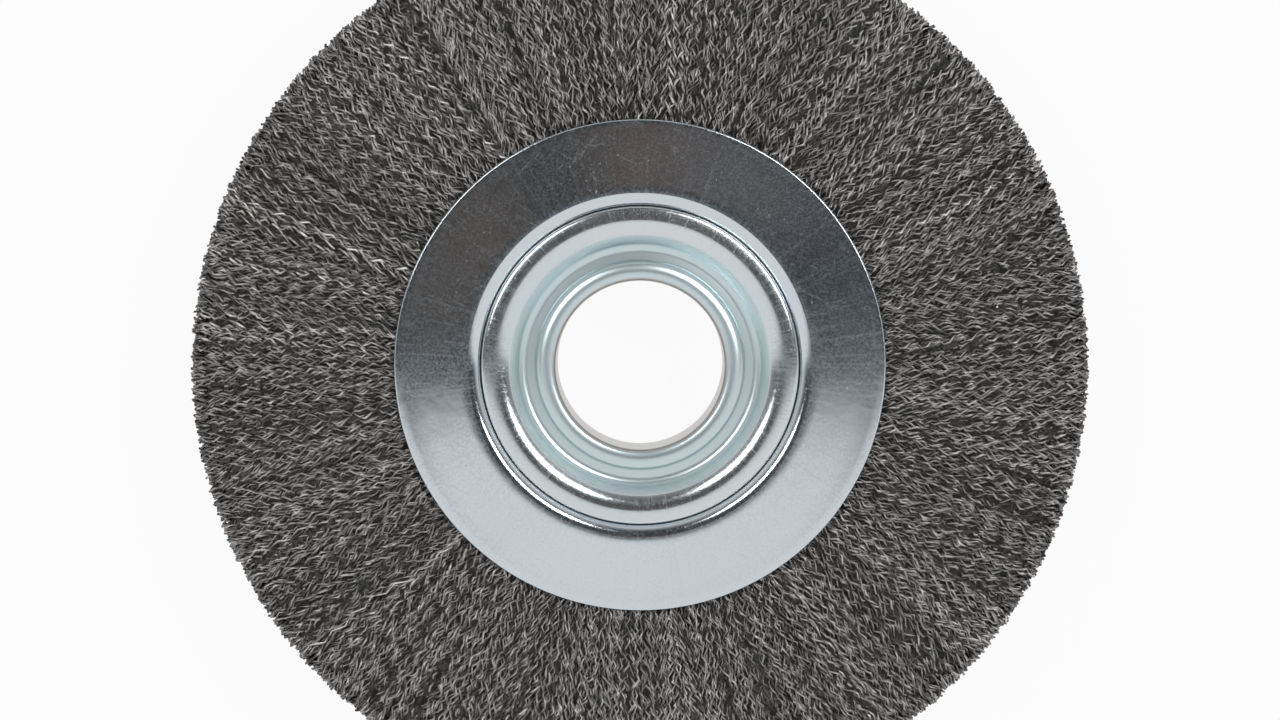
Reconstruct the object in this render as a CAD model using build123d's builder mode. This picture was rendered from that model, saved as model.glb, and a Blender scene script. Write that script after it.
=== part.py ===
from build123d import *
import os
from math import asin, atan, cos, degrees, radians, sin, tan

# Wire wheel brush: a fill of crimped steel wires held between two stamped plates.
# The wheel lies flat, its axis is Z and its origin is the middle of the arbor bore.

# Whole wheel
tip_diameter = 200.0  # over the wire tips
face_width = 38.0  # over the crests of the fill, at the tips
fill_flare = 4.0  # how far the fill spreads beyond each plate's rim, from the rim to the tips
seat_gap = 0.1  # left between pieces that seat on each other

# Side plates
plate_diameter = 109.4
plate_sheet = 1.2
plate_cone_angle = 2.2  # the face rises towards the hub
plate_edge_radius = 0.4
roll_off_slope = 1.3  # the face falls again before it reaches the shoulder
roll_off_bend = 34.0
shoulder_flat = 0.1  # straight on between this bend and the shoulder
shoulder_gap = 2.8  # from the cup's rim out to where the face starts to dive under it
shoulder_bend = 4.0
shoulder_slope = 50.0
shoulder_drop = 2.5  # from the end of the face down to the inner flange
flange_bend = 2.2
flange_reach = 7.9  # from the shoulder in to the flange's inner edge

# Hub cups
cup_sheet = 1.2
cup_rim_reach = 3.0  # from the crest of the domed rim out to its edge
cup_proud = 0.6  # crest of the domed rim above the plate's rim
cup_outer_dome = 11.5
cup_inner_dome = 7.2
cup_inner_turn = 27.0  # slope at which the inner dome passes into the lip
cup_lip_bend = 0.3  # inside radius of the lip over the recess
cup_edge_radius = 0.54
recess_slope = 55.0  # of the wall from the lip down into the recess
recess_wall = 0.55  # straight part of this wall
recess_bend = 4.0
recess_fall = 6.0  # slope of the floor, down from the sleeve to the wall
recess_width = 4.7  # of the floor between the sleeve and the wall's bend

# Arbor sleeve
bore_diameter = 37.5
sleeve_wall = 1.2
mouth_bend = 1.4  # outside radius of the turn out of the bore
mouth_turn = 75.0
crown_bend = 4.2  # outside radius of the flatter crown over the recess floor
crown_turn = 35.0
skirt_bend = 1.9  # outside radius of the turn down to the recess floor
skirt_turn = 60.0

# Hub spacer and core rings, inside the wheel
spacer_wall = 3.2
core_ring_count = 3
core_ring_wire = 5.0
core_ring_pitch = 8.6

# Fill of crimped wires
lock_count = 60  # locks of wires around the wheel
root_gap = 3.7  # from the plate's shoulder out to where the wires turn around the core rings
crimp_length = 3.3  # half of one wave, along the wire
crimp_swing = 0.85  # sideways from the middle of the wave
lock_slope = 12.0  # flank of a lock, from its valley up to its crest
tip_taper = 2.0  # length over which a lock narrows to its tip
tip_share = 0.7  # of a lock's width that is left at its tip
tip_round = 1.2  # how much a lock's crest falls away at its tip
tip_recesses = (0.0, 1.2, 0.5)  # how far the tips of neighbouring locks stay back, in turn

# Radii that follow from the bore outwards
sleeve_outer_radius = bore_diameter / 2 + sleeve_wall
lip_bend = cup_sheet + cup_lip_bend
recess_radius = sleeve_outer_radius + recess_width
bend_reach = recess_bend * (sin(radians(recess_slope)) + sin(radians(recess_fall)))
wall_reach = bend_reach + recess_wall * cos(radians(recess_slope))
lip_reach = lip_bend * (sin(radians(recess_slope)) - sin(radians(cup_inner_turn)))
dome_reach = cup_inner_dome * sin(radians(cup_inner_turn))
cup_crest_radius = recess_radius + wall_reach + lip_reach + dome_reach
cup_rim_radius = cup_crest_radius + cup_rim_reach
shoulder_radius = cup_rim_radius + shoulder_gap
flange_inner_radius = shoulder_radius - flange_reach
root_radius = shoulder_radius + root_gap
plate_radius = plate_diameter / 2

# Heights above the middle plane
plate_top = face_width / 2 - fill_flare
cup_top = plate_top + cup_proud
dome_drop = cup_inner_dome * (1 - cos(radians(cup_inner_turn)))
lip_drop = lip_bend * (cos(radians(cup_inner_turn)) - cos(radians(recess_slope)))
bend_drop = recess_bend * (cos(radians(recess_fall)) - cos(radians(recess_slope)))
wall_drop = bend_drop + recess_wall * sin(radians(recess_slope))
recess_height = cup_top - dome_drop - lip_drop - wall_drop

# Side plates: one sheet, drawn along its outer surface from the rim to the inner flange
roll_off_turn = plate_cone_angle + roll_off_slope
roll_off_radius = shoulder_radius + shoulder_flat + roll_off_bend * tan(radians(roll_off_turn / 2))
roll_off_height = plate_top + (plate_radius - roll_off_radius) * tan(radians(plate_cone_angle))
knee_reach = shoulder_bend * tan(radians((shoulder_slope - roll_off_slope) / 2))
knee_radius = shoulder_radius - knee_reach * cos(radians(roll_off_slope))
knee_height = roll_off_height - (roll_off_radius - knee_radius) * tan(radians(roll_off_slope))
flange_height = knee_height - shoulder_drop
foot_radius = knee_radius - shoulder_drop / tan(radians(shoulder_slope))

with BuildPart() as front_plate:
    with BuildSketch(Plane.XZ):
        with BuildLine():
            FilletPolyline(
                (plate_radius, plate_top),
                (roll_off_radius, roll_off_height),
                (knee_radius, knee_height),
                (foot_radius, flange_height),
                (flange_inner_radius, flange_height),
                radius=(roll_off_bend, shoulder_bend, flange_bend),
            )
            offset(amount=plate_sheet, side=Side.LEFT)
        rim = make_face()
        rim_corners = rim.vertices().group_by(Axis.X)[-1] + rim.vertices().group_by(Axis.X)[-2]
        fillet(rim_corners, radius=plate_edge_radius)
    revolve(axis=Axis.Z)

with BuildPart() as rear_plate:
    mirror(front_plate.part, about=Plane.XY)


# Hub cups: a domed rim over the plate's shoulder, then a lip and a recess around the bore
def floor_height(radius):
    """Height of the recess floor at a distance from the axis."""
    return recess_height + (recess_radius - radius) * tan(radians(recess_fall))


floor_end = sleeve_outer_radius + seat_gap + cup_sheet * sin(radians(recess_fall))
outer_turn = degrees(asin((cup_rim_radius - cup_crest_radius) / cup_outer_dome))
rim_fall = cup_outer_dome * (1 - cos(radians(outer_turn)))
rim_tangent = (-cos(radians(outer_turn)), sin(radians(outer_turn)))

with BuildPart() as front_hub_cup:
    with BuildSketch(Plane.XZ):
        with BuildLine():
            rim_start = (cup_rim_radius, cup_top - rim_fall)
            outer_dome = JernArc(rim_start, rim_tangent, cup_outer_dome, outer_turn)
            inner_dome = JernArc(outer_dome @ 1, (-1, 0), cup_inner_dome, cup_inner_turn)
            lip = JernArc(inner_dome @ 1, inner_dome % 1, lip_bend, recess_slope - cup_inner_turn)
            wall = Line(lip @ 1, lip @ 1 + (lip % 1) * recess_wall)
            bend = JernArc(wall @ 1, wall % 1, recess_bend, -recess_slope - recess_fall)
            Line(bend @ 1, (floor_end, floor_height(floor_end)))
            offset(amount=cup_sheet, side=Side.LEFT)
        rim = make_face()
        rim_corners = rim.vertices().group_by(Axis.X)[-1] + rim.vertices().group_by(Axis.X)[-2]
        fillet(rim_corners, radius=cup_edge_radius)
    revolve(axis=Axis.Z)

with BuildPart() as rear_hub_cup:
    mirror(front_hub_cup.part, about=Plane.XY)


# Arbor sleeve: a tube whose ends are flared outwards over the floors of the cups
crown_start = mouth_turn - 90
skirt_start = crown_start + crown_turn
skirt_end = skirt_start + skirt_turn
crown_drop = crown_bend * (1 - cos(radians(skirt_start)))
skirt_drop = skirt_bend * (cos(radians(skirt_start)) - cos(radians(skirt_end)))
edge_drop = sleeve_wall * cos(radians(skirt_end))
mouth_reach = mouth_bend * (1 - cos(radians(mouth_turn)))
crown_reach = crown_bend * (sin(radians(skirt_start)) - sin(radians(crown_start)))
skirt_reach = skirt_bend * (sin(radians(skirt_end)) - sin(radians(skirt_start)))
edge_reach = sleeve_wall * sin(radians(skirt_end))
seat_radius = bore_diameter / 2 + mouth_reach + crown_reach + skirt_reach - edge_reach
crown_top = floor_height(seat_radius) + seat_gap + edge_drop + skirt_drop + crown_drop
mouth_rise = mouth_bend * sin(radians(mouth_turn)) + crown_bend * (1 - cos(radians(crown_start)))
bore_end = crown_top - mouth_rise

with BuildPart() as arbor_sleeve:
    with BuildSketch(Plane.XZ):
        with BuildLine():
            bore = Line((bore_diameter / 2, 0), (bore_diameter / 2, bore_end))
            mouth = JernArc(bore @ 1, bore % 1, mouth_bend, -mouth_turn)
            crown = JernArc(mouth @ 1, mouth % 1, crown_bend, -crown_turn)
            skirt = JernArc(crown @ 1, crown % 1, skirt_bend, -skirt_turn)
            outside = Line((sleeve_outer_radius, 0), (sleeve_outer_radius, bore_end))
            mouth_inside = JernArc(outside @ 1, outside % 1, mouth_bend - sleeve_wall, -mouth_turn)
            crown_inside = JernArc(mouth_inside @ 1, mouth_inside % 1, crown_bend - sleeve_wall, -crown_turn)
            skirt_inside = JernArc(crown_inside @ 1, crown_inside % 1, skirt_bend - sleeve_wall, -skirt_turn)
            Line(skirt @ 1, skirt_inside @ 1)
            Line(bore @ 0, outside @ 0)
        make_face()
    revolve(axis=Axis.Z)
    mirror(about=Plane.XY)


# Hub spacer: a tube that keeps the cups' floors apart while the sleeve is flared
spacer_inner_radius = sleeve_outer_radius + seat_gap
spacer_outer_radius = spacer_inner_radius + spacer_wall
spacer_end = floor_height(spacer_outer_radius) - cup_sheet / cos(radians(recess_fall)) - seat_gap

with BuildPart() as hub_spacer:
    with BuildSketch(Plane.XY.offset(-spacer_end)):
        Circle(spacer_outer_radius)
        Circle(spacer_inner_radius, mode=Mode.SUBTRACT)
    extrude(amount=2 * spacer_end)


# Core rings: round wire rings side by side, around which the wires of the fill turn
core_ring_radius = root_radius - seat_gap - core_ring_wire / 2
core_rings = []

for number in range(core_ring_count):
    height = (number - (core_ring_count - 1) / 2) * core_ring_pitch
    with BuildPart() as core_ring:
        with BuildSketch(Plane.XZ):
            with Locations((core_ring_radius, height)):
                Circle(core_ring_wire / 2)
        revolve(axis=Axis.Z)
    core_ring.part.label = f"core_ring_{number + 1}"
    core_rings.append(core_ring.part)


# Fill of crimped wires: locks stand side by side around the wheel. A lock has a crest on each
# face of the wheel, zigzags on its way out as the wires do, and narrows to a tip, whose corners
# lie on the wheel's diameter.
half_lock = 180 / lock_count
taper_radius = tip_diameter / 2 - tip_taper
tip_radius = tip_diameter / 2 * cos(atan(tan(radians(half_lock)) * tip_share))
under_plate = plate_top - plate_sheet - seat_gap
root_crest = under_plate + (plate_radius - root_radius) * tan(radians(plate_cone_angle)) - seat_gap
crimp_room = taper_radius - plate_radius
crimp_count = round(crimp_room / crimp_length)

# Each station of a lock: its radius, its turn about the axis, its crest's height and its share
# of the full width
stations = [(root_radius, 0, root_crest, 1)]
for crimp in range(crimp_count + 1):
    share_out = crimp / crimp_count
    radius = plate_radius + crimp_room * share_out
    turn = (crimp_swing if crimp % 2 else -crimp_swing) / radius
    stations.append((radius, turn, under_plate + (face_width / 2 - under_plate) * share_out, 1))


def lock_skin(tip_recess):
    """The faces of one lock, without the sides where it meets its neighbours."""
    tip = (tip_radius - tip_recess, turn, face_width / 2 - tip_round, tip_share)
    with BuildPart() as lock:
        for station_radius, station_turn, crest_height, width_share in [*stations, tip]:
            half_width = station_radius * tan(radians(half_lock)) * width_share
            valley_height = crest_height - half_width * tan(radians(lock_slope))
            outwards = Vector(cos(station_turn), sin(station_turn), 0)
            sideways = Vector(-sin(station_turn), cos(station_turn), 0)
            with BuildSketch(Plane(outwards * station_radius, x_dir=sideways, z_dir=outwards)):
                Polygon(
                    (-half_width, -valley_height),
                    (0, -crest_height),
                    (half_width, -valley_height),
                    (half_width, valley_height),
                    (0, crest_height),
                    (-half_width, valley_height),
                    align=None,
                )
        loft(ruled=True)
    skin = ShapeList()
    for face in lock.faces():
        is_flank = abs(face.normal_at().Z) > sin(radians(lock_slope))
        is_end = abs(face.normal_at().X) > cos(radians(half_lock) * 2)
        is_tip_side = face.center().X > taper_radius
        if is_flank or is_end or is_tip_side:
            skin.append(face)
    return skin


skins = [lock_skin(tip_recess) for tip_recess in tip_recesses]
all_faces = []
for number in range(lock_count):
    for face in skins[number % len(skins)]:
        all_faces.append(face.rotate(Axis.Z, 2 * half_lock * number))

with BuildPart() as wire_fill:
    add(Solid(Shell(all_faces)))


front_plate.part.label = "front_plate"
rear_plate.part.label = "rear_plate"
front_hub_cup.part.label = "front_hub_cup"
rear_hub_cup.part.label = "rear_hub_cup"
arbor_sleeve.part.label = "arbor_sleeve"
hub_spacer.part.label = "hub_spacer"
wire_fill.part.label = "wire_fill"

pieces = [
    front_plate.part,
    rear_plate.part,
    front_hub_cup.part,
    rear_hub_cup.part,
    arbor_sleeve.part,
    hub_spacer.part,
    *core_rings,
    wire_fill.part,
]

os.makedirs("parts", exist_ok=True)
for piece in pieces:
    export_step(piece, f"parts/{piece.label}.step")
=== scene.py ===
import bpy
import bmesh
from math import asin, cos, pi, radians, sin, tan
from mathutils import Matrix, Vector
from random import Random


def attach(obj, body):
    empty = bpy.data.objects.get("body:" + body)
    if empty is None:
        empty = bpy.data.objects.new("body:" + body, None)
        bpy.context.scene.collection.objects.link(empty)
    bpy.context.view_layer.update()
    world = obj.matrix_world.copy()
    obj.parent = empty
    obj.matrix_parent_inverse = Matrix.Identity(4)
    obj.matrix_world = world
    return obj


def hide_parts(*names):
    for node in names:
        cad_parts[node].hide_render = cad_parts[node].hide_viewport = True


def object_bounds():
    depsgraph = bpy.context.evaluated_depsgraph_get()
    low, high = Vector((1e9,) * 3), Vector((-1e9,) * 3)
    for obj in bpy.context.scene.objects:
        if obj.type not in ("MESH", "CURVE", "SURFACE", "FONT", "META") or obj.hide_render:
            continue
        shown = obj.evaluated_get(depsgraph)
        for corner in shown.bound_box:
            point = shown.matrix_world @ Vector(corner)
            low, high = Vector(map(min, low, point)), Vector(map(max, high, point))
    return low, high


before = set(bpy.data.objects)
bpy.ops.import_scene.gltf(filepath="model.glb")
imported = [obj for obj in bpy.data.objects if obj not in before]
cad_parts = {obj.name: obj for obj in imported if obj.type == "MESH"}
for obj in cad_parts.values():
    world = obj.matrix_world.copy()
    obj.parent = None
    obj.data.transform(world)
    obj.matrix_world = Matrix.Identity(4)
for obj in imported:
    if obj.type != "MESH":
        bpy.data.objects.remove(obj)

cadLow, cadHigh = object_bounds()
mm = 0.001
scene = bpy.context.scene
scene.view_settings.view_transform = "Standard"
print("frame loaded:", ", ".join(sorted(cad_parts)))


# Camera: above the wheel, leaned a little towards the top of the picture
shot = {
    "distance": 1080 * mm,  # from the plates' outer face
    "lean": radians(2.0),
    "focal": 136.7,
    "sensor": 36.0,
    "aim": Vector((0, 1.18 * mm, 15 * mm)),
}

camera = bpy.data.objects.new("camera", bpy.data.cameras.new("camera"))
camera.data.lens = shot["focal"]
camera.data.sensor_width = shot["sensor"]
camera.location = shot["aim"] + shot["distance"] * Vector((0, sin(shot["lean"]), cos(shot["lean"])))
camera.rotation_euler = (-shot["lean"], 0, 0)
scene.collection.objects.link(camera)
scene.camera = camera


# Small helpers for node trees: a value is set on a socket, another node's output is linked to it
def feed(tree, socket, value):
    if isinstance(value, bpy.types.NodeSocket):
        tree.links.new(value, socket)
    else:
        socket.default_value = value


def addNode(tree, kind, inputs=None, **settings):
    made = tree.nodes.new("ShaderNode" + kind)
    for name, value in settings.items():
        setattr(made, name, value)
    for socket, value in (inputs or {}).items():
        feed(tree, made.inputs[socket], value)
    return made


def calc(tree, operation, *values):
    made = addNode(tree, "Math", operation=operation)
    for socket, value in zip(made.inputs, values):
        feed(tree, socket, value)
    return made.outputs[0]


def vectorCalc(tree, operation, first, second=None, scale=None):
    made = addNode(tree, "VectorMath", operation=operation)
    feed(tree, made.inputs[0], first)
    if second is not None:
        feed(tree, made.inputs[1], second)
    if scale is not None:
        feed(tree, made.inputs["Scale"], scale)
    return made.outputs[0]


def lengthOf(tree, vector):
    return addNode(tree, "VectorMath", {0: vector}, operation="LENGTH").outputs["Value"]


def fade(tree, value, start, end):
    # 0 at the start, 1 at the end, smooth between them
    span = {"Value": value, "From Min": start, "From Max": end}
    return addNode(tree, "MapRange", span, interpolation_type="SMOOTHSTEP").outputs["Result"]


def noiseAt(tree, place, scale, detail=2.0):
    inputs = {"Vector": place, "Scale": scale, "Detail": detail}
    return addNode(tree, "TexNoise", inputs).outputs[0]


def onPiece(tree):
    # where a point lies on the piece, in metres
    return addNode(tree, "TexCoord").outputs["Object"]


def aroundAxis(tree):
    # the same point seen along the wheel's axis, and its distance from the axis
    flat = vectorCalc(tree, "MULTIPLY", onPiece(tree), (1, 1, 0))
    return flat, lengthOf(tree, flat)


def mixColour(tree, share, first, second, blend="MIX"):
    made = addNode(tree, "Mix", data_type="RGBA", blend_type=blend)
    sockets = {socket.identifier: socket for socket in made.inputs}
    feed(tree, sockets["Factor_Float"], share)
    feed(tree, sockets["A_Color"], first)
    feed(tree, sockets["B_Color"], second)
    return made.outputs[2]


def newGroup(name, inputs):
    # a group with named numbers going in and one mask coming out
    group = bpy.data.node_groups.new(name, "ShaderNodeTree")
    for label, value in inputs.items():
        socket = group.interface.new_socket(name=label, in_out="INPUT", socket_type="NodeSocketFloat")
        socket.default_value = value
    group.interface.new_socket(name="Mask", in_out="OUTPUT", socket_type="NodeSocketFloat")
    taken = group.nodes.new("NodeGroupInput").outputs
    given = group.nodes.new("NodeGroupOutput").inputs["Mask"]
    return group, taken, given


def maskFrom(tree, group, **inputs):
    return addNode(tree, "Group", inputs, node_tree=group).outputs["Mask"]


def newMaterial(name):
    made = bpy.data.materials.new(name)
    made.use_nodes = True
    return made, made.node_tree, made.node_tree.nodes["Principled BSDF"]


# Lamps and world: two softboxes towards the top of the picture, a light half of the sky towards
# its foot and a dark half towards its top, which the zinc mirrors
studio = {
    "light": (0.80, 0.80, 0.80, 1),
    "dark": (0.034, 0.038, 0.043, 1),
    "edge": -0.0655,  # where the light half ends: y of a direction, for each unit of its height
    "edgeBlur": 0.012,
    "horizon": (0.62, 0.62, 0.62, 1),  # the dark half gets this light towards the horizon
    "horizonEnd": 0.45,  # height of a direction
    "horizonStart": 0.85,
    "spotCore": 0.4,  # share of a spot's reach that has its full colour
    "boxDistance": 1000 * mm,
}
darkSpots = [  # soft spots in the dark half
    {"towards": (-0.002, 0.095, 1), "reach": 0.06, "colour": (0.145, 0.092, 0.076, 1)},
    {"towards": (-0.095, 0.060, 1), "reach": 0.06, "colour": (0.108, 0.076, 0.062, 1)},
    {"towards": (-0.130, 0.015, 1), "reach": 0.05, "colour": (0.075, 0.058, 0.048, 1)},
    {"towards": (0.065, 0.080, 1), "reach": 0.06, "colour": (0.095, 0.094, 0.096, 1)},
    {"towards": (-0.055, 0.085, 1), "reach": 0.045, "colour": (0.014, 0.030, 0.032, 1)},
]
softboxes = {  # each faces the wheel, so many degrees off its axis
    "softbox_right": {
        "polar": radians(28.5),
        "around": radians(43),
        "size": (440 * mm, 180 * mm),
        "radiance": 10.0,
    },
    "softbox_left": {
        "polar": radians(28.5),
        "around": radians(141),
        "size": (370 * mm, 180 * mm),
        "radiance": 6.5,
    },
}

for name, box in softboxes.items():
    lamp = bpy.data.lights.new(name, "AREA")
    lamp.shape = "RECTANGLE"
    lamp.size, lamp.size_y = box["size"]
    lamp.energy = box["radiance"] * pi * lamp.size * lamp.size_y
    outwards = Vector((cos(box["around"]), sin(box["around"]), 0))
    sideways = Vector((-sin(box["around"]), cos(box["around"]), 0))
    towards = outwards * sin(box["polar"]) + Vector((0, 0, cos(box["polar"])))
    holder = bpy.data.objects.new(name, lamp)
    holder.location = towards * studio["boxDistance"]
    holder.rotation_euler = Matrix((sideways, towards.cross(sideways), towards)).transposed().to_euler()
    holder.visible_camera = False
    scene.collection.objects.link(holder)

scene.world = bpy.data.worlds.new("studio")
scene.world.use_nodes = True
sky = scene.world.node_tree
direction = addNode(sky, "TexCoord").outputs["Generated"]
heading = addNode(sky, "SeparateXYZ", {"Vector": direction}).outputs
pastEdge = calc(sky, "SUBTRACT", heading["Y"], calc(sky, "MULTIPLY", heading["Z"], studio["edge"]))
inDark = fade(sky, pastEdge, -studio["edgeBlur"], studio["edgeBlur"])
isCamera = addNode(sky, "LightPath").outputs["Is Camera Ray"]
darkColour = studio["dark"]
for spot in darkSpots:
    away = lengthOf(sky, vectorCalc(sky, "SUBTRACT", direction, spot["towards"]))
    inSpot = fade(sky, away, spot["reach"], spot["reach"] * studio["spotCore"])
    darkColour = mixColour(sky, inSpot, darkColour, spot["colour"])
overhead = fade(sky, heading["Z"], studio["horizonEnd"], studio["horizonStart"])
darkColour = mixColour(sky, overhead, studio["horizon"], darkColour)
skyColour = mixColour(sky, inDark, studio["light"], darkColour)
feed(sky, sky.nodes["Background"].inputs["Color"], mixColour(sky, isCamera, skyColour, (1, 1, 1, 1)))


# Floor: white to the eye and in reflections, with a share of plain matt that keeps the shadow
ground = {
    "size": 3000 * mm,
    "matt": (0.90, 0.90, 0.90, 1),
    "dull": 0.9,
    "shadowShare": 0.08,
}

groundMesh = bmesh.new()
bmesh.ops.create_grid(groundMesh, x_segments=1, y_segments=1, size=ground["size"])
bmesh.ops.translate(groundMesh, vec=(0, 0, cadLow.z), verts=groundMesh.verts)
groundData = bpy.data.meshes.new("floor")
groundMesh.to_mesh(groundData)
groundMesh.free()
groundObject = bpy.data.objects.new("floor", groundData)
scene.collection.objects.link(groundObject)

groundPaint, tree, shader = newMaterial("floor_white")
shader.inputs["Base Color"].default_value = ground["matt"]
shader.inputs["Roughness"].default_value = ground["dull"]
shader.inputs["Specular IOR Level"].default_value = 0.0
path = addNode(tree, "LightPath").outputs
seen = calc(tree, "MAXIMUM", path["Is Camera Ray"], path["Is Glossy Ray"])
seen = calc(tree, "MAXIMUM", seen, path["Is Transmission Ray"])
white = addNode(tree, "Emission", {"Color": (1, 1, 1, 1), "Strength": 1.0})
blend = addNode(tree, "MixShader", {0: calc(tree, "MULTIPLY", seen, 1 - ground["shadowShare"])})
tree.links.new(shader.outputs[0], blend.inputs[1])
tree.links.new(white.outputs[0], blend.inputs[2])
below = addNode(tree, "MixShader", {0: addNode(tree, "NewGeometry").outputs["Backfacing"]})
tree.links.new(blend.outputs[0], below.inputs[1])
tree.links.new(addNode(tree, "BsdfTransparent").outputs[0], below.inputs[2])
tree.links.new(below.outputs[0], tree.nodes["Material Output"].inputs["Surface"])
groundData.materials.append(groundPaint)
print("camera, lamps and floor placed")


# Shared surface effects: masks that change over the surface
def makeStreaks():
    # lines that run out from the axis: noise that changes quickly around it and slowly outwards
    inputs = {"Around": 60.0, "Out": 60.0, "Low": 0.5, "High": 0.7}
    group, taken, given = newGroup("radialStreaks", inputs)
    flat, reach = aroundAxis(group)
    spoke = vectorCalc(group, "SCALE", vectorCalc(group, "NORMALIZE", flat), scale=taken["Around"])
    outwards = {"Z": calc(group, "MULTIPLY", reach, taken["Out"])}
    place = vectorCalc(group, "ADD", spoke, addNode(group, "CombineXYZ", outwards).outputs[0])
    feed(group, given, fade(group, noiseAt(group, place, 1.0, 3.0), taken["Low"], taken["High"]))
    return group


def makeSpecks():
    # small spots, the more the lower the threshold
    group, taken, given = newGroup("fineSpecks", {"Scale": 1500.0, "Low": 0.62, "High": 0.7})
    noise = noiseAt(group, onPiece(group), taken["Scale"], 1.0)
    feed(group, given, fade(group, noise, taken["Low"], taken["High"]))
    return group


def makeScratches():
    # short hairlines in one direction: noise drawn out along it
    inputs = {"Direction": 0.0, "Scale": 90.0, "Narrow": 30.0, "Low": 0.68, "High": 0.74}
    group, taken, given = newGroup("hairScratches", inputs)
    inputs = {"Vector": onPiece(group), "Angle": taken["Direction"]}
    turned = addNode(group, "VectorRotate", inputs, rotation_type="Z_AXIS").outputs[0]
    drawn = addNode(group, "CombineXYZ", {"X": 1.0, "Y": taken["Narrow"], "Z": 1.0}).outputs[0]
    noise = noiseAt(group, vectorCalc(group, "MULTIPLY", turned, drawn), taken["Scale"])
    feed(group, given, fade(group, noise, taken["Low"], taken["High"]))
    return group


def makeBlotches():
    # wide soft patches
    inputs = {"Scale": 60.0, "Detail": 3.0, "Low": 0.35, "High": 0.65}
    group, taken, given = newGroup("softBlotches", inputs)
    noise = noiseAt(group, onPiece(group), taken["Scale"], taken["Detail"])
    feed(group, given, fade(group, noise, taken["Low"], taken["High"]))
    return group


def makeScuff():
    # one mark at a given place on the wheel's face, a little bent and broken up along its length
    inputs = {
        "X": 0.0,
        "Y": 0.0,
        "Turn": 0.0,
        "Length": 5 * mm,
        "Width": 0.5 * mm,
        "Bend": 2.5 * mm,
        "BendScale": 160.0,
        "BreakScale": 1800.0,
    }
    group, taken, given = newGroup("scuffMark", inputs)
    place = onPiece(group)
    middle = addNode(group, "CombineXYZ", {"X": taken["X"], "Y": taken["Y"]}).outputs[0]
    inputs = {"Vector": vectorCalc(group, "SUBTRACT", place, middle), "Angle": taken["Turn"]}
    turned = addNode(group, "VectorRotate", inputs, rotation_type="Z_AXIS", invert=True).outputs[0]
    axes = addNode(group, "SeparateXYZ", {"Vector": turned}).outputs
    halfLength = calc(group, "MULTIPLY", taken["Length"], 0.5)
    halfWidth = calc(group, "MULTIPLY", taken["Width"], 0.5)
    bent = calc(group, "SUBTRACT", noiseAt(group, place, taken["BendScale"]), 0.5)
    bent = calc(group, "MULTIPLY", bent, taken["Bend"])
    along = calc(group, "DIVIDE", calc(group, "ABSOLUTE", axes["X"]), halfLength)
    across = calc(group, "ABSOLUTE", calc(group, "ADD", axes["Y"], bent))
    across = calc(group, "DIVIDE", across, halfWidth)
    # it fades towards its ends and its sides, and where the fine noise is low
    inside = calc(group, "MULTIPLY", fade(group, along, 1.0, 0.5), fade(group, across, 1.2, 0.3))
    kept = fade(group, noiseAt(group, place, taken["BreakScale"]), 0.35, 0.6)
    feed(group, given, calc(group, "MULTIPLY", inside, kept))
    return group


def makeWeave():
    # crimped wires side by side that run outwards, painted: each has its own tone, a painted highlight
    # along its middle and painted shade where it dips
    inputs = {
        "Around": 600.0,
        "Wave": 5.6 * mm,
        "Swing": 0.7,
        "Seed": 0.0,
        "DriftScale": 260.0,
        "PhaseDrift": 14.0,
        "PlaceDrift": 3.0,
        "Dimmest": 0.5,
        "ToneSpread": 0.7,
        "BeatSpread": 6.0,
        "BeatShift": 1.5,
    }
    group, taken, given = newGroup("crimpedWeave", inputs)
    flat, reach = aroundAxis(group)
    axes = addNode(group, "SeparateXYZ", {"Vector": flat}).outputs
    angle = calc(group, "ARCTAN2", axes["Y"], axes["X"])
    inputs = {"X": axes["X"], "Y": axes["Y"], "Z": taken["Seed"]}
    shifted = addNode(group, "CombineXYZ", inputs).outputs[0]
    drift = noiseAt(group, shifted, taken["DriftScale"], 1.0)
    # how far along its wave a wire is, then which wire it is
    phase = calc(group, "MULTIPLY", drift, taken["PhaseDrift"])
    turned = calc(group, "DIVIDE", reach, taken["Wave"])
    turned = calc(group, "MULTIPLY_ADD", turned, 2 * pi, phase)
    eachTurn = calc(group, "DIVIDE", taken["Around"], 2 * pi)
    place = calc(group, "MULTIPLY", drift, taken["PlaceDrift"])
    place = calc(group, "MULTIPLY_ADD", angle, eachTurn, place)
    place = calc(group, "MULTIPLY_ADD", calc(group, "SINE", turned), taken["Swing"], place)
    number = calc(group, "ADD", calc(group, "ROUND", place), taken["Seed"])
    own = addNode(group, "TexWhiteNoise", {"W": number}, noise_dimensions="1D").outputs[0]
    # painted highlight along the middle of each wire, in its own tone, with a beat of painted shade in
    # the dips
    line = fade(group, calc(group, "PINGPONG", place, 0.5), 0.5, 0.1)
    tone = calc(group, "MULTIPLY_ADD", own, taken["ToneSpread"], taken["Dimmest"])
    tone = calc(group, "MULTIPLY", line, tone)
    beat = calc(group, "ADD", turned, taken["BeatShift"])
    beat = calc(group, "SINE", calc(group, "MULTIPLY_ADD", own, taken["BeatSpread"], beat))
    dipShade = calc(group, "MULTIPLY_ADD", beat, 0.5, 0.5)
    feed(group, given, calc(group, "MULTIPLY", tone, dipShade))
    return group


streaks = makeStreaks()
specks = makeSpecks()
scratches = makeScratches()
blotches = makeBlotches()
scuff = makeScuff()
weave = makeWeave()


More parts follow.
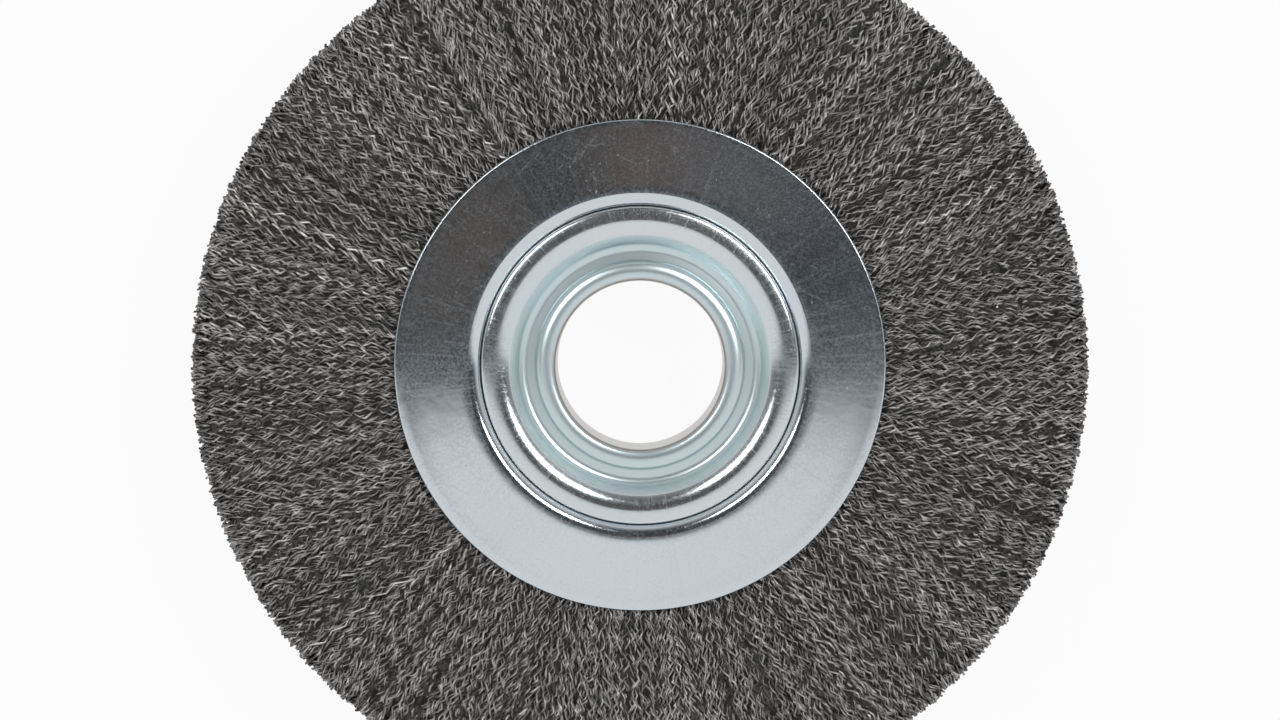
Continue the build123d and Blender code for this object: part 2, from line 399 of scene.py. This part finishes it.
# Finishes
def makeZinc(name, look):
    made, tree, shader = newMaterial(name)
    patch = maskFrom(tree, blotches, Scale=look["patchScale"])
    spoke = maskFrom(tree, streaks, Around=look["streakCount"], Out=look["streakLength"],
                     Low=0.5, High=0.75)
    grain = maskFrom(tree, specks, Scale=look["grainScale"], Low=0.3, High=0.7)
    spot = maskFrom(tree, specks, Scale=look["speckScale"], Low=look["speckLow"],
                    High=look["speckLow"] + look["speckBlur"])
    firstHair = maskFrom(tree, scratches, Direction=0.5)
    secondHair = maskFrom(tree, scratches, Direction=-0.9, Scale=70.0)
    hair = calc(tree, "MAXIMUM", firstHair, secondHair)
    colour = mixColour(tree, patch, look["cool"], look["warm"])
    dull = look["gloss"]
    for mask, share in ((spot, "speckDull"), (hair, "hairDull"), (grain, "grainDull"),
                        (spoke, "streakDull"), (patch, "patchDull")):
        dull = calc(tree, "MULTIPLY_ADD", mask, look[share], dull)
    # dust makes the dark reflections paler, in patches, and lies along the hairlines and scuffs
    dust = calc(tree, "MULTIPLY", spot, look["speckDust"])
    dust = calc(tree, "MULTIPLY_ADD", grain, look["dust"], dust)
    dusty = maskFrom(tree, blotches, Scale=look["dustScale"], Low=0.2, High=0.6)
    dust = calc(tree, "MULTIPLY", dust, dusty)
    dust = calc(tree, "MULTIPLY_ADD", hair, look["hairDust"], dust)
    for x, y, turn, length, width in look["scuffs"]:
        mark = maskFrom(tree, scuff, X=x * mm, Y=y * mm, Turn=radians(turn), Length=length * mm,
                        Width=width * mm)
        dust = calc(tree, "MULTIPLY_ADD", mark, look["scuffDust"], dust)
    # satin inside a radius
    flat, reach = aroundAxis(tree)
    for satin in look["satin"]:
        within = fade(tree, reach, satin["outer"] + satin["blur"], satin["outer"])
        colour = mixColour(tree, within, colour, satin["tint"])
        change = calc(tree, "SUBTRACT", satin["dull"], dull)
        dull = calc(tree, "MULTIPLY_ADD", within, change, dull)
    wave = maskFrom(tree, blotches, Scale=look["waveScale"], Low=0.2, High=0.8)
    bump = addNode(tree, "Bump", {"Height": wave, "Strength": 1.0, "Distance": look["waveHeight"]})
    feed(tree, shader.inputs["Base Color"], colour)
    feed(tree, shader.inputs["Roughness"], dull)
    feed(tree, shader.inputs["Metallic"], calc(tree, "SUBTRACT", 1.0, dust))
    feed(tree, shader.inputs["Normal"], bump.outputs[0])
    return made


plateZinc = makeZinc("zinc_plate", {
    "cool": (0.70, 0.765, 0.815, 1),
    "warm": (0.70, 0.757, 0.795, 1),
    "patchScale": 22.0,
    "gloss": 0.09,
    "patchDull": 0.02,
    "grainScale": 2100.0,
    "grainDull": 0.04,
    "streakCount": 70.0,
    "streakLength": 40.0,
    "streakDull": 0.03,
    "speckScale": 1400.0,
    "speckLow": 0.73,
    "speckBlur": 0.06,
    "speckDull": 0.12,
    "hairDull": 0.05,
    "hairDust": 0.035,
    "dust": 0.05,
    "speckDust": 0.05,
    "dustScale": 230.0,
    "scuffs": [  # x, y, turn in degrees, length and width in mm
        (-11.8, 48.6, 52, 9.0, 0.7), (-14.6, 46.0, 58, 6.0, 0.5), (-9.6, 49.0, 4, 5.0, 0.6),
        (-10.0, 41.2, -50, 4.5, 0.6), (-17.5, 44.5, 35, 4.0, 0.4), (-5.5, 51.2, 80, 3.0, 0.5),
        (7.6, 47.9, 60, 2.0, 1.3), (9.6, 46.4, 20, 1.6, 0.9), (28.4, 33.2, 45, 1.4, 1.1),
        (34.0, 22.3, 10, 1.1, 0.9), (-40.2, -12.0, 100, 2.4, 0.4), (42.5, -8.5, 70, 2.0, 0.4),
    ],
    "scuffDust": 0.11,
    "satin": [],
    "waveScale": 200.0,
    "waveHeight": 0.005 * mm,
})
hubZinc = makeZinc("zinc_hub", {
    "cool": (0.69, 0.76, 0.79, 1),
    "warm": (0.73, 0.765, 0.775, 1),
    "patchScale": 40.0,
    "gloss": 0.125,
    "patchDull": 0.02,
    "grainScale": 2600.0,
    "grainDull": 0.05,
    "streakCount": 130.0,
    "streakLength": 150.0,
    "streakDull": 0.10,
    "speckScale": 1600.0,
    "speckLow": 0.69,
    "speckBlur": 0.06,
    "speckDull": 0.10,
    "hairDull": 0.02,
    "hairDust": 0.01,
    "dust": 0.03,
    "speckDust": 0.02,
    "dustScale": 60.0,
    "scuffs": [],
    "scuffDust": 0.0,
    "satin": [  # the recess, then the mouth of the bore
        {"outer": 28.3 * mm, "blur": 1.2 * mm, "dull": 0.29, "tint": (0.645, 0.755, 0.782, 1)},
        {"outer": 19.2 * mm, "blur": 0.5 * mm, "dull": 0.35, "tint": (0.56, 0.55, 0.53, 1)},
    ],
    "waveScale": 300.0,
    "waveHeight": 0.005 * mm,
})


def makeSteel(name, look):
    made, tree, shader = newMaterial(name)
    grain = noiseAt(tree, onPiece(tree), look["grainScale"])
    tone = calc(tree, "MULTIPLY_ADD", grain, look["grainTone"], 1 - look["grainTone"] / 2)
    if look["weaves"]:
        drawn = 0.0
        for layer in look["weaves"]:
            mask = maskFrom(tree, weave, Around=layer["around"], Swing=layer["swing"],
                            Seed=layer["seed"])
            drawn = calc(tree, "MAXIMUM", calc(tree, "MULTIPLY", mask, layer["share"]), drawn)
        # the painted wires lighten the dark bed with their painted highlights and leave painted shade in
        # their dips
        weaveLit = calc(tree, "MULTIPLY_ADD", drawn, look["weaveLight"], 1.0)
        tone = calc(tree, "MULTIPLY", tone, weaveLit)
    if look["perWire"]:
        # each point's tone: the wire's own tone, with painted shade where it lies deep
        own = addNode(tree, "Attribute", attribute_name="tone").outputs["Fac"]
        tone = calc(tree, "MULTIPLY", tone, own)
    shade = addNode(tree, "CombineColor", {"Red": tone, "Green": tone, "Blue": tone}).outputs[0]
    patch = maskFrom(tree, blotches, Scale=look["hueScale"], Low=0.3, High=0.7)
    hue = mixColour(tree, patch, look["cool"], look["warm"])
    feed(tree, shader.inputs["Base Color"], mixColour(tree, 1.0, shade, hue, "MULTIPLY"))
    shader.inputs["Metallic"].default_value = look["metallic"]
    shader.inputs["Roughness"].default_value = look["roughness"]
    return made


wireSteel = makeSteel("crimped_wire", {
    "cool": (0.525, 0.512, 0.50, 1),
    "warm": (0.535, 0.51, 0.487, 1),
    "hueScale": 90.0,
    "metallic": 1.0,
    "roughness": 0.5,
    "grainScale": 650.0,
    "grainTone": 1.9,
    "weaves": [],
    "perWire": True,
})
# painted shade: a near-black bed that stands in for the deeper wires in shadow, with painted wires drawn
# on it
shadeBedSteel = makeSteel("wire_shade_bed", {
    "cool": (0.007, 0.0068, 0.0066, 1),
    "warm": (0.008, 0.0072, 0.0066, 1),
    "hueScale": 90.0,
    "metallic": 0.6,
    "roughness": 0.6,
    "grainScale": 1500.0,
    "grainTone": 1.0,
    "weaves": [  # two layers of drawn wires
        {"around": 620.0, "swing": 0.9, "seed": 0.0, "share": 1.0},
        {"around": 490.0, "swing": -0.8, "seed": 7.0, "share": 0.7},
    ],
    "weaveLight": 13,
    "perWire": False,
})
print("finishes made")


# Pressed sheet pieces: a line of corners with bends, spun about the axis and given its thickness
def bentLine(corners, bends, steps):
    line = [Vector(corners[0])]
    for before, corner, after, bend in zip(corners, corners[1:], corners[2:], bends):
        corner = Vector(corner)
        back = (Vector(before) - corner).normalized()
        ahead = (Vector(after) - corner).normalized()
        turn = pi - back.angle(ahead)
        reach = bend * tan(turn / 2)
        middle = corner + (back + ahead).normalized() * bend / cos(turn / 2)
        count = max(5, round(steps * turn / (pi / 2)))
        first = corner + back * reach - middle
        last = corner + ahead * reach - middle
        for step in range(count + 1):
            share = step / count
            spoke = first * sin((1 - share) * turn) + last * sin(share * turn)
            line.append(middle + spoke / sin(turn))
    line.append(Vector(corners[-1]))
    return [line[0]] + [end for start, end in zip(line, line[1:]) if (end - start).length > 0.01]


def traced(start, heading, moves, steps):
    # a line drawn from a start: (length, 0) goes straight on, (radius, turn) goes around a bend
    line = [Vector(start)]
    for size, turn in moves:
        if turn == 0:
            line.append(line[-1] + size * Vector((cos(heading), sin(heading))))
            continue
        middle = line[-1] + (size if turn > 0 else -size) * Vector((-sin(heading), cos(heading)))
        spoke = line[-1] - middle
        count = max(2, round(steps * abs(turn) / (pi / 2)))
        for step in range(count):
            line.append(middle + Matrix.Rotation(turn * (step + 1) / count, 2) @ spoke)
        heading += turn
    return line


def beside(line, distance):
    # the same line, moved to its left
    out = []
    for number, point in enumerate(line):
        run = line[min(number + 1, len(line) - 1)] - line[max(number - 1, 0)]
        out.append(point + Vector((-run.y, run.x)).normalized() * distance)
    return out


def newPiece(name, data):
    made = bpy.data.objects.new(name, data)
    scene.collection.objects.link(made)
    return made


def spun(section, rings):
    # a closed section, points of (radius, height) in mm, spun about the wheel's axis
    shape = bmesh.new()
    corners = [shape.verts.new((point[0] * mm, 0, point[1] * mm)) for point in section]
    for start, end in zip(corners, corners[1:] + corners[:1]):
        shape.edges.new((start, end))
    bmesh.ops.spin(shape, geom=shape.verts[:] + shape.edges[:], axis=(0, 0, 1), cent=(0, 0, 0),
                   angle=2 * pi, steps=rings, use_merge=True)
    bmesh.ops.remove_doubles(shape, verts=shape.verts[:], dist=0.001 * mm)
    bmesh.ops.recalc_face_normals(shape, faces=shape.faces[:])
    return shape


def spunSheet(name, line, look, side=1):
    # sheet or tube of even thickness along the line, with its cut rims rounded
    section = line + beside(line, look["sheet"])[::-1]
    shape = spun([(point.x, point.y * side) for point in section], look["rings"])
    sharp = [rim for rim in shape.edges if rim.calc_face_angle() > radians(60)]
    bmesh.ops.bevel(shape, geom=sharp, offset=look["edge"] * mm, segments=2, profile=0.5,
                    affect="EDGES", material=-1)
    data = bpy.data.meshes.new(name)
    shape.to_mesh(data)
    shape.free()
    data.shade_smooth()
    made = newPiece(name, data)
    made.modifiers.new("even_shading", "WEIGHTED_NORMAL")
    return made


def dress(piece, paint, slot, *nodes):
    piece.data.materials.clear()
    piece.data.materials.append(paint)
    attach(piece, "root")
    if nodes:
        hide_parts(*nodes)


# Side plates, in mm and radians like the other pieces
plate = {
    "rimRadius": 54.7,
    "rimTop": 15.0,  # above the wheel's middle plane
    "cone": radians(2.2),
    "sheet": 1.2,
    "edge": 0.4,
    "dishRadius": 50.5,  # the face is a little flatter from here out
    "dishSlope": radians(1.4),
    "dishBend": 200.0,
    "rollOffRadius": 39.42,  # and falls again from here in
    "rollOffSlope": radians(1.3),
    "rollOffBend": 34.0,
    "shoulderRadius": 38.28,  # where the bend into the shoulder starts
    "shoulderBend": 4.0,
    "shoulderSlope": radians(50),
    "shoulderDrop": 2.5,
    "flangeBend": 2.2,
    "flangeRadius": 30.4,
    "rings": 144,
}


def plateLine():
    rollOffTop = plate["rimTop"] + (plate["rimRadius"] - plate["rollOffRadius"]) * tan(plate["cone"])
    kneeReach = plate["shoulderBend"] * tan((plate["shoulderSlope"] - plate["rollOffSlope"]) / 2)
    kneeRadius = plate["shoulderRadius"] - kneeReach * cos(plate["rollOffSlope"])
    kneeTop = rollOffTop - (plate["rollOffRadius"] - kneeRadius) * tan(plate["rollOffSlope"])
    flangeTop = kneeTop - plate["shoulderDrop"]
    footRadius = kneeRadius - plate["shoulderDrop"] / tan(plate["shoulderSlope"])
    dishTop = plate["rimTop"] + (plate["rimRadius"] - plate["dishRadius"]) * tan(plate["dishSlope"])
    corners = [(plate["rimRadius"], plate["rimTop"]), (plate["dishRadius"], dishTop),
               (plate["rollOffRadius"], rollOffTop), (kneeRadius, kneeTop),
               (footRadius, flangeTop), (plate["flangeRadius"], flangeTop)]
    bends = [plate["dishBend"], plate["rollOffBend"], plate["shoulderBend"], plate["flangeBend"]]
    return bentLine(corners, bends, 14)


for node, side in (("front_plate", 1), ("rear_plate", -1)):
    made = spunSheet(node + "_pressed", plateLine(), plate, side)
    dress(made, plateZinc, "zinc_plate", node)


# Hub cups: a domed rim, a wall that goes down into the recess, and the recess's floor
cup = {
    "rimRadius": 35.48,
    "rimReach": 3.0,  # from the rim in to the crest
    "crestTop": 15.6,
    "outerDome": 11.5,
    "innerDome": 7.2,
    "innerTurn": radians(27),
    "lipBend": 1.5,
    "wallSlope": radians(44),
    "wall": 2.415,
    "recessBend": 2.6,
    "recessFall": radians(6),  # the floor falls outwards
    "floorWidth": 4.884,
    "sheet": 1.2,
    "edge": 0.5,
    "rings": 120,
}


def cupLine():
    outerTurn = asin(cup["rimReach"] / cup["outerDome"])
    rimTop = cup["crestTop"] - cup["outerDome"] * (1 - cos(outerTurn))
    moves = [(cup["outerDome"], outerTurn), (cup["innerDome"], cup["innerTurn"]),
             (cup["lipBend"], cup["wallSlope"] - cup["innerTurn"]), (cup["wall"], 0),
             (cup["recessBend"], -cup["wallSlope"] - cup["recessFall"]), (cup["floorWidth"], 0)]
    return traced((cup["rimRadius"], rimTop), pi - outerTurn, moves, 16)


for node, side in (("front_hub_cup", 1), ("rear_hub_cup", -1)):
    made = spunSheet(node + "_pressed", cupLine(), cup, side)
    dress(made, hubZinc, "zinc_hub", node)


# Arbor sleeve, both ends flared outwards
sleeve = {
    "boreRadius": 18.75,
    "boreEnd": 12.968,  # above the middle plane
    "mouthBend": 1.4,
    "mouthTurn": radians(75),
    "crownBend": 4.2,
    "crownTurn": radians(35),
    "skirtBend": 1.9,
    "skirtTurn": radians(60),
    "sheet": -1.2,  # the tube's wall, outside the line of the bore
    "edge": 0.25,
    "rings": 100,
}


def sleeveLine():
    moves = [(sleeve["boreEnd"], 0), (sleeve["mouthBend"], -sleeve["mouthTurn"]),
             (sleeve["crownBend"], -sleeve["crownTurn"]), (sleeve["skirtBend"], -sleeve["skirtTurn"])]
    upper = traced((sleeve["boreRadius"], 0), pi / 2, moves, 9)[1:]
    return [Vector((point.x, -point.y)) for point in reversed(upper)] + upper


made = spunSheet("arbor_sleeve_rolled", sleeveLine(), sleeve)
dress(made, hubZinc, "zinc_hub", "arbor_sleeve")
print("plates, cups and sleeve made")


# Inside pieces keep their solids
innerSteel = makeSteel("inner_steel", {
    "cool": (0.30, 0.30, 0.30, 1),
    "warm": (0.32, 0.30, 0.28, 1),
    "hueScale": 60.0,
    "metallic": 1.0,
    "roughness": 0.45,
    "grainScale": 400.0,
    "grainTone": 0.3,
    "weaves": [],
    "perWire": False,
})
for node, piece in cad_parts.items():
    if node.startswith(("hub_spacer", "core_ring")):
        piece.data.materials.clear()
        piece.data.materials.append(innerSteel)


# Fill of crimped wires: a dark bed of painted shade under the wires, wires over both faces and tips
# around the rim
fill = {
    "rimTop": 13.7,  # where the wires come out from under the plates
    "tipRadius": 99.9,
    "roundRadius": 98.0,  # from here out the faces fall away
    "faceTop": 19.0,
    "roundDrop": 1.2,
    "locks": 60,
    "lockSlope": radians(12),
}
crimp = {
    "wireRadius": 0.30,  # around the three corners of a wire's section
    "wave": 5.6,
    "waveSpread": 0.08,
    "swing": 0.70,  # across the wheel's face
    "dip": 0.85,  # into it
    "swingSpread": 0.22,
    "leastSwing": 0.3,  # share of a swing or a dip
    "leanSpread": radians(4.5),
    "wander": 0.6,
    "wanderRun": 4.0,
    "start": (50.5, 53.5),  # under the plates
    "lastStart": 95.0,
    "end": 98.9,
    "endSpread": 0.4,
    "longest": 99.70,
    "rise": 2.0,  # a wire that starts further out comes up from this much deeper
    "riseRun": 7.0,
    "tuftWidth": 2.6,  # at the tips
    "tuftLean": 0.2,  # share of the lean spread
    "tuftDepth": 0.12,
    "tuftTone": 0.08,
    "tuftSeed": 20,
    "outOfStep": 0.9,  # spread of the phase within a tuft
    "toneSpread": 0.2,
    "toneRange": (0.3, 2.2),
    "bright": 1.5,
    "brightShare": 0.05,
    # painted shade: a wire's tone darkens with depth, down to this share at the bottom of a dip
    "deepShade": 0.08,  # share of a wire's tone that is left at the bottom of a dip
    "deep": 1.6,  # to the darkest tone
}


def faceTop(radius, around):
    # height of the fill's face above the middle plane: shallow locks, each with a crest
    if radius < plate["rimRadius"]:
        crest = fill["rimTop"] + (plate["rimRadius"] - radius) * tan(plate["cone"])
    elif radius < fill["roundRadius"]:
        share = (radius - plate["rimRadius"]) / (fill["roundRadius"] - plate["rimRadius"])
        crest = fill["rimTop"] + (fill["faceTop"] - fill["rimTop"]) * share
    else:
        share = (radius - fill["roundRadius"]) / (fill["tipRadius"] - fill["roundRadius"])
        crest = fill["faceTop"] - fill["roundDrop"] * share
    lockTurn = 2 * pi / fill["locks"]
    offCrest = abs(around - lockTurn * round(around / lockTurn))
    return crest - radius * offCrest * tan(fill["lockSlope"])


def inRange(value, limits):
    return min(limits[1], max(limits[0], value))


def makeTufts(chance):
    # neighbouring wires that lie somewhat in step
    count = round(2 * pi * fill["tipRadius"] / crimp["tuftWidth"])
    return [{
        "phase": chance.uniform(0, 2 * pi),
        "shift": chance.uniform(0, 2 * pi),
        "lean": chance.gauss(0, crimp["leanSpread"] * crimp["tuftLean"]),
        "depth": abs(chance.gauss(0, crimp["tuftDepth"])),
        "tone": chance.gauss(1, crimp["tuftTone"]),
    } for tuft in range(count)]


def wireLine(chance, tuft, angle, start, end, depth, layer):
    # a wire weaves from side to side and in and out, and its tone has painted shade where it is deep
    wave = crimp["wave"] * chance.gauss(1, crimp["waveSpread"])
    phase = tuft["phase"] + chance.gauss(0, crimp["outOfStep"])
    shift = tuft["shift"] + chance.gauss(0, crimp["outOfStep"])
    swing = crimp["swing"] * max(crimp["leastSwing"], chance.gauss(1, crimp["swingSpread"]))
    dip = crimp["dip"] * max(crimp["leastSwing"], chance.gauss(1, crimp["swingSpread"]))
    lean = tuft["lean"] + chance.gauss(0, crimp["leanSpread"])
    wander = chance.uniform(0, 2 * pi)
    tone = tuft["tone"] * chance.gauss(1, crimp["toneSpread"])
    tone *= crimp["bright"] if chance.random() < crimp["brightShare"] else 1
    tone = inRange(tone, crimp["toneRange"])
    rise = crimp["rise"] if start > plate["rimRadius"] else 0.0
    count = max(2, round((end - start) / wave * layer["steps"]))
    points, tones = [], []
    for step in range(count + 1):
        radius = start + (end - start) * step / count
        turned = phase + 2 * pi * radius / wave
        across = swing * sin(turned) + lean * (radius - start)
        across += crimp["wander"] * sin(wander + radius / crimp["wanderRun"])
        around = angle + across / radius
        sunk = depth + tuft["depth"] + dip * (1 - sin(turned + shift))
        sunk += rise * max(0, 1 - (radius - start) / crimp["riseRun"])
        height = (faceTop(radius, around) - crimp["wireRadius"] - sunk) * layer["side"]
        points.append((radius * cos(around) * mm, radius * sin(around) * mm, height * mm))
        # painted shade: the deeper the point, the darker its tone
        tones.append(tone * (1 - (1 - crimp["deepShade"]) * min(1, sunk / crimp["deep"])))
    return points, tones


def wirePiece(name, wires):
    # wires as splines around a three-cornered section, then one mesh with a tone for each point, which
    # carries the painted shade of deep places
    corner = bpy.data.curves.new(name + "_section", "CURVE")
    ring = corner.splines.new("POLY")
    ring.points.add(2)
    ring.use_cyclic_u = True
    for point, turned in zip(ring.points, (0, 4 * pi / 3, 2 * pi / 3)):
        point.co = (crimp["wireRadius"] * mm * cos(turned), crimp["wireRadius"] * mm * sin(turned), 0, 1)
    section = newPiece(name + "_section", corner)
    bundle = bpy.data.curves.new(name + "_lines", "CURVE")
    bundle.dimensions = "3D"
    bundle.bevel_mode = "OBJECT"
    bundle.bevel_object = section
    for points, tones in wires:
        spline = bundle.splines.new("POLY")
        spline.points.add(len(points) - 1)
        spline.points.foreach_set("co", [value for point in points for value in (*point, 1)])
    lines = newPiece(name + "_lines", bundle)
    solid = lines.evaluated_get(bpy.context.evaluated_depsgraph_get())
    data = bpy.data.meshes.new_from_object(solid)
    data.name = name
    values = [tone for points, tones in wires for tone in tones for corner in range(3)]
    data.attributes.new("tone", "FLOAT", "POINT").data.foreach_set("value", values)
    bpy.data.objects.remove(lines)
    bpy.data.objects.remove(section)
    shape = bmesh.new()
    shape.from_mesh(data)
    bmesh.ops.holes_fill(shape, edges=[rim for rim in shape.edges if rim.is_boundary], sides=3)
    shape.to_mesh(data)
    shape.free()
    data.shade_smooth()
    return newPiece(name, data)


layers = [  # depth in mm below the face, steps for each wave
    {"name": "front_wires_under", "side": 1, "count": 600, "depth": (0.7, 1.3), "steps": 3, "seed": 11},
    {"name": "front_wires_middle", "side": 1, "count": 1500, "depth": (0.4, 0.9), "steps": 3, "seed": 12},
    {"name": "front_wires_over", "side": 1, "count": 1500, "depth": (0.1, 0.6), "steps": 3, "seed": 13},
    {"name": "front_wires_top", "side": 1, "count": 1180, "depth": (0.0, 0.3), "steps": 4, "seed": 14},
    {"name": "rear_wires", "side": -1, "count": 1200, "depth": (0.0, 1.2), "steps": 3, "seed": 15},
]
sideTufts = {side: makeTufts(Random(crimp["tuftSeed"] + side)) for side in (1, -1)}

for layer in layers:
    chance = Random(layer["seed"])
    tufts = sideTufts[layer["side"]]
    wires = []
    for number in range(layer["count"]):
        share = (number + chance.random()) / layer["count"]
        tuft = tufts[int(share * len(tufts)) % len(tufts)]
        # as many wires for each mm around the hub as around the rim: the others come up further out
        start = fill["tipRadius"] * chance.random()
        if start < plate["rimRadius"]:
            start = chance.uniform(*crimp["start"])
        start = min(start, crimp["lastStart"])
        end = min(crimp["longest"], chance.gauss(crimp["end"], crimp["endSpread"]))
        depth = chance.uniform(*layer["depth"])
        wires.append(wireLine(chance, tuft, (share - 0.5) * 2 * pi, start, end, depth, layer))
    dress(wirePiece(layer["name"], wires), wireSteel, "crimped_wire", "wire_fill")


# Wire tips around the rim, each with one bend
tips = {
    "pieces": 2,
    "count": 4600,  # in each piece
    "start": (96.0, 97.0),
    "middle": (97.8, 98.6),
    "shortest": 98.75,
    "ragged": 0.30,
    "bend": 0.55,
    "tone": 0.9,
    "toneSpread": 0.25,
    "toneRange": (0.4, 1.8),
    "seed": 31,
}
tipTop = fill["faceTop"] - fill["roundDrop"] - crimp["wireRadius"]

for part in range(tips["pieces"]):
    chance = Random(tips["seed"] + part)
    wires = []
    for number in range(tips["count"]):
        around = 2 * pi * (number + chance.random()) / tips["count"]
        height = chance.uniform(-tipTop, tipTop)
        across = 0.0
        points = []
        end = min(crimp["longest"], tips["shortest"] + chance.expovariate(1 / tips["ragged"]))
        for radius in (chance.uniform(*tips["start"]), chance.uniform(*tips["middle"]), end):
            points.append((radius * cos(around + across / radius) * mm,
                           radius * sin(around + across / radius) * mm,
                           inRange(height, (-tipTop, tipTop)) * mm))
            across += chance.gauss(0, tips["bend"])
            height += chance.gauss(0, tips["bend"])
        tone = inRange(chance.gauss(tips["tone"], tips["toneSpread"]), tips["toneRange"])
        wires.append((points, [tone] * len(points)))
    dress(wirePiece("rim_tips_" + str(part + 1), wires), wireSteel, "crimped_wire", "wire_fill")


# The dark bed under the wires: painted shade that stands in for the deeper wires, with painted wires on
# it
bed = {
    "depth": 1.8,  # below the faces
    "rootRadius": 42.2,
    "rimRadius": 97.0,
    "edge": 1.0,
    "rings": 180,
}

half = []
for radius in (bed["rootRadius"], plate["rimRadius"], bed["rimRadius"] - bed["edge"]):
    half.append((radius, faceTop(radius, 0) - bed["depth"]))
half.append((bed["rimRadius"], half[-1][1] - bed["edge"]))
bedShape = spun(half + [(radius, -height) for radius, height in reversed(half)], bed["rings"])
bedData = bpy.data.meshes.new("wire_shade_bed")
bedShape.to_mesh(bedData)
bedShape.free()
dress(newPiece("wire_shade_bed", bedData), shadeBedSteel, "crimped_wire", "wire_fill")
print("fill of wires made")
